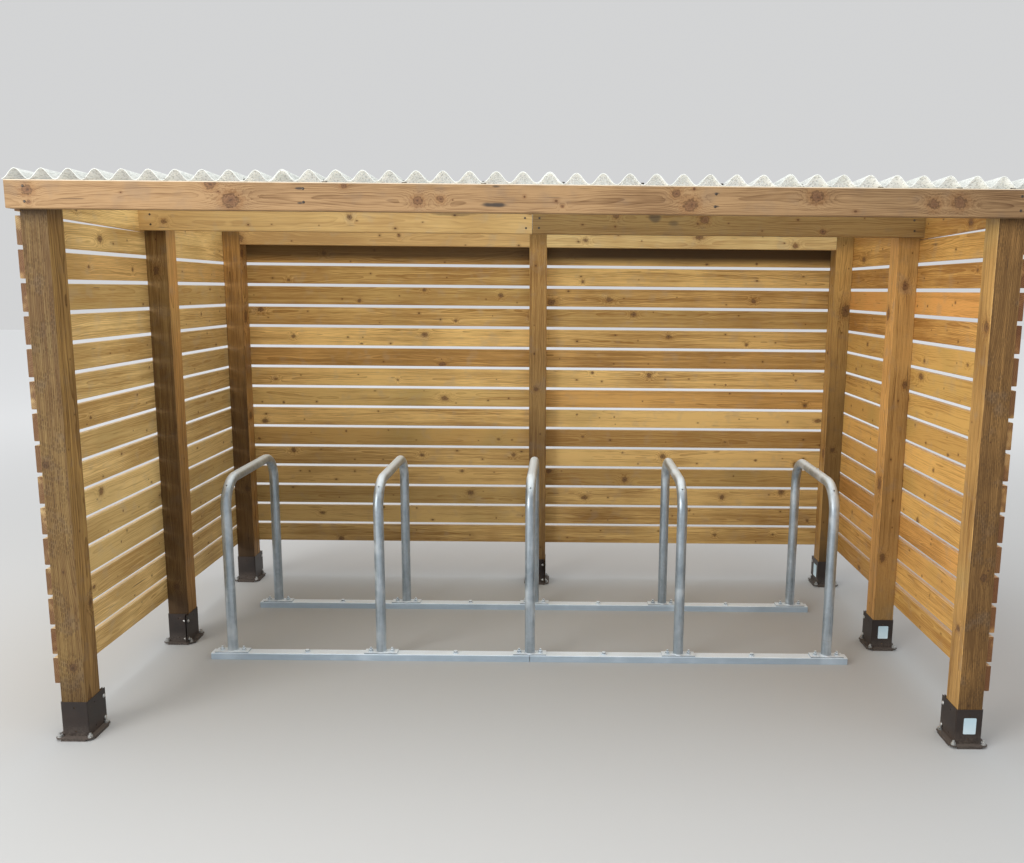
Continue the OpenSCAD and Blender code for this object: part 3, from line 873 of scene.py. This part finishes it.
SCREW_VALLEYS = (1, *range(3, 37, 3), 38)
SHEET = 0.0028
SEAL = 0.003
beam_fall = (fascia_high.z - mid_beam_high.z) / (mid_beam_low.y - fascia_low.y)
screw_places = []
for beam in ("fascia_beam", "mid_beam_left", "back_beam_left"):
    low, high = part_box(beam)
    y = (low.y + high.y) / 2
    top = high.z - beam_fall * (y - low.y)
    for valley in SCREW_VALLEYS:
        screw_places.append(turned((0, beam_fall, 1), ROOF_LEFT + valley * ROOF_PITCH, y, top + SHEET))
roof_screw = joined("roof_screw", [
    disc_piece("seal", 18, 0.0095, SEAL, 0.001), disc_piece("head", 6, 0.0062, 0.0062, 0.0008, SEAL)])
spread(roof_screw, "roof_screws", screw_places, nail_finish)

# Nails in the slats and screws in the beams

SLAT_NAILS = (0.026, 0.079)
BEAM_SCREWS = (0.027, 0.074)
CENTRE_POST_NAIL = 0.028
BEAM_JOINT_SCREW = 0.03
NAIL_SCATTER = 0.004
NAIL_SCATTER_Y = 0.006


def nail_place(direction, x, y, z):
    """A nail a little off its place, but still on its face."""
    off_x = random.uniform(-NAIL_SCATTER, NAIL_SCATTER) * (direction[0] == 0)
    off_y = random.uniform(-NAIL_SCATTER_Y, NAIL_SCATTER_Y) * (direction[1] == 0)
    off_z = random.uniform(-NAIL_SCATTER, NAIL_SCATTER)
    return towards(direction, Vector((x + off_x, y + off_y, z + off_z)))


slat_heights = [SLAT_LOW + row * SLAT_STEP + up for row in range(SLAT_ROWS) for up in SLAT_NAILS]
side_nails, back_nails, beam_screws = [], [], []
for side, name in ((-1, "left"), (1, "right")):
    for place in ("front_" + name, "mid_" + name, "back_" + name):
        for z in slat_heights:
            side_nails.append(nail_place((side, 0, 0), side * SIDE_SLAT_OUTSIDE, post_centre[place].y, z))
for place, off_middle in (("back_left", 0.0), ("back_centre", -CENTRE_POST_NAIL),
                          ("back_centre", CENTRE_POST_NAIL), ("back_right", 0.0)):
    for z in slat_heights:
        back_nails.append(nail_place((0, 1, 0), post_centre[place].x + off_middle, back_slat_high.y, z))
spread(dome_head("nail", 0.0042, 0.0009, 1), "side_slat_nails", side_nails, nail_finish)
spread(dome_head("nail", 0.0042, 0.0009, 1), "back_slat_nails", back_nails, nail_finish)

fascia_screw_x = (post_centre["front_left"].x, post_centre["front_right"].x, -0.785, 0.690)
mid_screw_x = (post_centre["mid_left"].x, post_centre["mid_right"].x, -BEAM_JOINT_SCREW, BEAM_JOINT_SCREW)
for corner, columns in ((fascia_low, fascia_screw_x), (mid_beam_low, mid_screw_x)):
    for x in columns:
        for up in BEAM_SCREWS:
            beam_screws.append(nail_place((0, -1, 0), x, corner.y, corner.z + up))
spread(dome_head("screw", 0.0050, 0.0012, 2), "beam_screws", beam_screws, nail_finish)

# Blank labels on three shoes

LABEL_CORNER = 0.004
LABEL_THICK = 0.0006
LABEL_ASIDE = 0.003


def label(place, wide, high, from_post, direction):
    """Thin blank label with round corners on a face of a shoe, at a place from the foot of its post."""
    deselect_all()
    bpy.ops.mesh.primitive_plane_add(size=1)
    piece = bpy.context.object
    piece.name = "blank_label_" + place
    bpy.ops.object.mode_set(mode="EDIT")
    bpy.ops.mesh.select_all(action="SELECT")
    bpy.ops.transform.resize(value=(wide, high, 1))
    bpy.ops.mesh.bevel(offset=LABEL_CORNER, segments=3, affect="VERTICES")
    bpy.ops.mesh.select_all(action="SELECT")
    bpy.ops.mesh.extrude_region_move(TRANSFORM_OT_translate={"value": (0, 0, LABEL_THICK)})
    bpy.ops.mesh.select_all(action="SELECT")
    bpy.ops.mesh.normals_make_consistent(inside=False)
    bpy.ops.object.mode_set(mode="OBJECT")
    piece.data.transform(towards(direction, post_centre[place] + Vector(from_post)))
    piece.data.materials.append(label_finish)
    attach(piece, "root")


label("front_right", 0.050, 0.068, (LABEL_ASIDE, -shoe_outside, 0.086), (0, -1, 0))
label("mid_right", 0.050, 0.066, (LABEL_ASIDE, -shoe_outside, 0.090), (0, -1, 0))
label("back_right", 0.056, 0.076, (-shoe_outside, 0.0, 0.085), (-1, 0, 0))

# Floor and lights

deselect_all()
bpy.ops.mesh.primitive_plane_add(size=60)
floor = bpy.context.object
floor.name = "floor"
pale = Finish("floor_grey")
away = (pale.x * pale.x + pale.y * pale.y).sqrt().ramp(2.5, 11.0)
pale.use("Base Color", pale.mix(away, (0.43, 0.43, 0.425, 1), (0.76, 0.76, 0.76, 1)))
pale.use("Roughness", 0.9)
floor.data.materials.append(pale.material)

# The backdrop that camera, gloss and glass see is a plain grey, and a whiter sky lights the shelter
world = bpy.data.worlds.new("studio")
bpy.context.scene.world = world
world.use_nodes = True
sky = Nodes(world.node_tree)
sky.tree.nodes.clear()
lit = sky.node("ShaderNodeBackground", {}, {"Color": (0.97, 0.985, 1.0, 1), "Strength": 0.97})
seen = sky.node("ShaderNodeBackground", {}, {"Color": (0.65, 0.655, 0.66, 1), "Strength": 1.0})
camera_ray = sky.node("ShaderNodeLightPath", {}, {}, "Is Camera Ray")
glossy_ray = sky.node("ShaderNodeLightPath", {}, {}, "Is Glossy Ray")
glass_ray = sky.node("ShaderNodeLightPath", {}, {}, "Is Transmission Ray")
plain_view = camera_ray.most(glossy_ray).most(glass_ray)
backdrop = sky.node("ShaderNodeMixShader", {}, {0: plain_view, 1: lit, 2: seen})
sky.node("ShaderNodeOutputWorld", {}, {"Surface": backdrop}, None)


def soft_lamp(name, size, power, spot, aim, colour):
    """Square lamp at a spot that shines at another."""
    light = bpy.data.lights.new(name, "AREA")
    light.shape = "SQUARE"
    light.size = size
    light.energy = power
    light.color = colour
    holder = bpy.data.objects.new(name, light)
    bpy.context.scene.collection.objects.link(holder)
    turn = (Vector(aim) - Vector(spot)).to_track_quat("-Z", "Y").to_matrix().to_4x4()
    holder.matrix_world = Matrix.Translation(spot) @ turn


soft_lamp("left_sky", 3.6, 312.0, (-5.6, -5.6, 3.1), (1.2, 0.2, 1.0), (1.0, 0.985, 0.955))
soft_lamp("top_sky", 4.0, 300.0, (-0.8, -0.6, 6.5), (0, 0.2, 0), (0.975, 0.985, 1.0))

# Camera as fitted to the photograph: lengths in its pixels, angles in radians

WIDTH, HEIGHT = 1024, 863
FOCAL = 850.53
CENTRE_X, CENTRE_Y = 563.3, 420.55
PITCH_DOWN, ROLL, YAW = 0.1527, 0.0096, 0.0021
CAMERA_SPOT = (0.14456, -4.14204, 1.79106)
SENSOR = 36.0

camera_data = bpy.data.cameras.new("camera")
camera_data.sensor_fit = "HORIZONTAL"
camera_data.sensor_width = SENSOR
camera_data.lens = FOCAL * SENSOR / WIDTH
camera_data.shift_x = (WIDTH / 2 - CENTRE_X) / WIDTH
camera_data.shift_y = -(HEIGHT / 2 - CENTRE_Y) / WIDTH
camera_data.clip_start = 0.05
camera_data.clip_end = 200
camera = bpy.data.objects.new("camera", camera_data)
bpy.context.scene.collection.objects.link(camera)
level = Vector((math.sin(YAW), math.cos(YAW), 0))
right = Vector((math.cos(YAW), -math.sin(YAW), 0))
up = Vector(UP)
look = level * math.cos(PITCH_DOWN) - up * math.sin(PITCH_DOWN)
lift = up * math.cos(PITCH_DOWN) + level * math.sin(PITCH_DOWN)
camera_x = right * math.cos(ROLL) + lift * math.sin(ROLL)
camera_y = lift * math.cos(ROLL) - right * math.sin(ROLL)
turn = Matrix((camera_x, camera_y, -look)).transposed().to_4x4()
camera.matrix_world = Matrix.Translation(CAMERA_SPOT) @ turn
bpy.context.scene.camera = camera
bpy.context.scene.view_settings.view_transform = "Standard"
